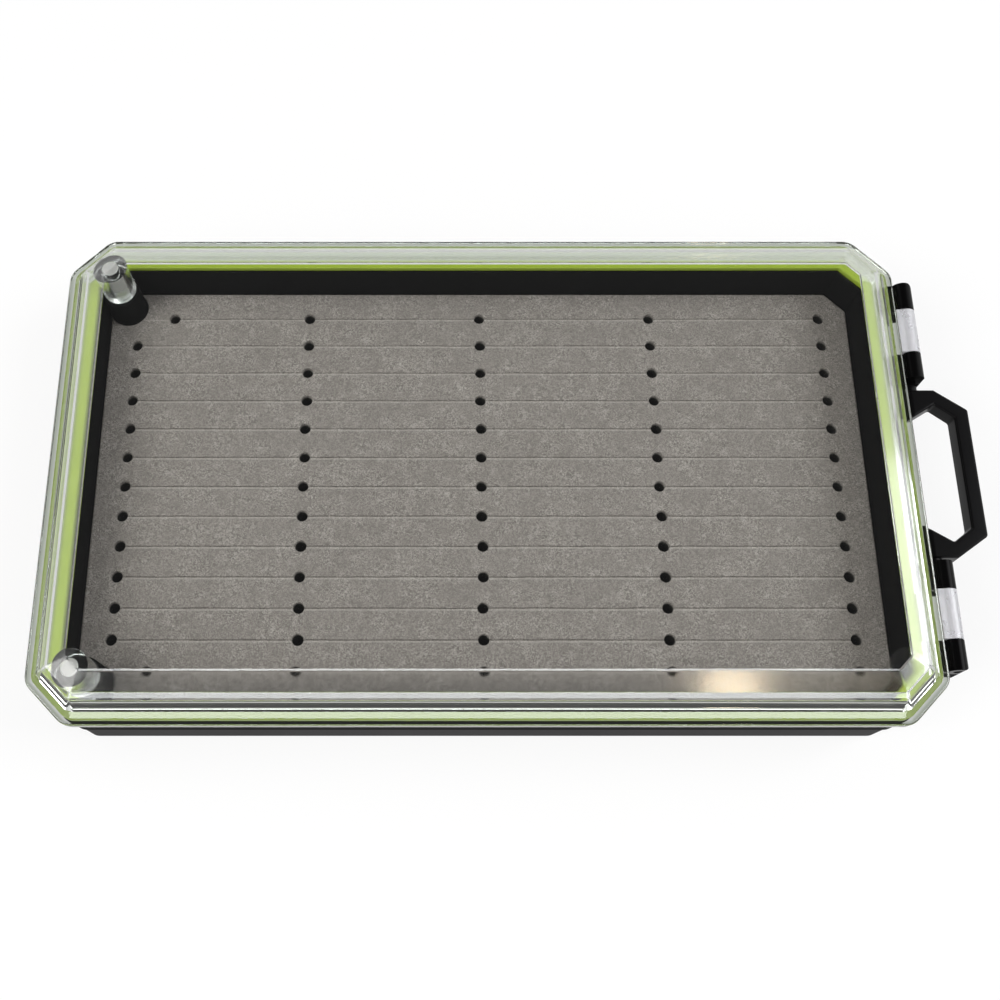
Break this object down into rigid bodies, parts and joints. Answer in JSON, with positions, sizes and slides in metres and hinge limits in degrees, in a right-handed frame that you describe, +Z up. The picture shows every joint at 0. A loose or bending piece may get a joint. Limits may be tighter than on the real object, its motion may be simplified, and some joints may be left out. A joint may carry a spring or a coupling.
{
  "type": "fly box",
  "caption": "Large waterproof fly box: black tray with a slit foam pad, clear hinged lid on a green seal, magnets in the corner posts and a folding carry handle.",
  "frame": {"origin": "middle of the tray's underside, on the surface the box stands on", "axes": "+Z up out of the open tray, +X towards the hinges and the handle, +Y towards the far long side"},
  "size_m": [0.286, 0.158, 0.043],
  "materials": {
    "tray_plastic": "black moulded plastic, glossy on its sides and satin on its rim and knuckles",
    "handle_plastic": "black moulded plastic, satin",
    "clear_plastic": "clear polycarbonate, polished inside and outside",
    "seal": "lime green silicone rubber, smooth",
    "foam": "warm grey closed-cell foam with a fine fibrous grain",
    "tape": "pale double-sided adhesive tape",
    "magnet": "nickel plated",
    "pin_steel": "bright drawn steel wire"
  },
  "bodies": {
    "base": {"tray": "tray_plastic", "foam_pad": "foam", "foam_tape": "tape", "gasket": "seal", "tray_magnet_far": "magnet", "tray_magnet_near": "magnet", "tray_plug_far": "tray_plastic", "tray_plug_near": "tray_plastic", "hinge_pin_far": "pin_steel", "hinge_pin_near": "pin_steel"},
    "lid": {"lid": "clear_plastic", "lid_magnet_far": "magnet", "lid_magnet_near": "magnet", "lid_plug_far": "clear_plastic", "lid_plug_near": "clear_plastic"},
    "handle": {"handle": "handle_plastic"}
  },
  "joints": [
    {"name": "lid_hinge", "type": "hinge", "parent": "base", "child": "lid", "pos_m": [0.1364, 0, 0.0305], "axis": [0, 1, 0], "range_deg": [0, 135]},
    {"name": "handle_pivot", "type": "hinge", "parent": "base", "child": "handle", "pos_m": [0.1364, 0, 0.025], "axis": [0, 1, 0], "range_deg": [0, 90]}
  ]
}
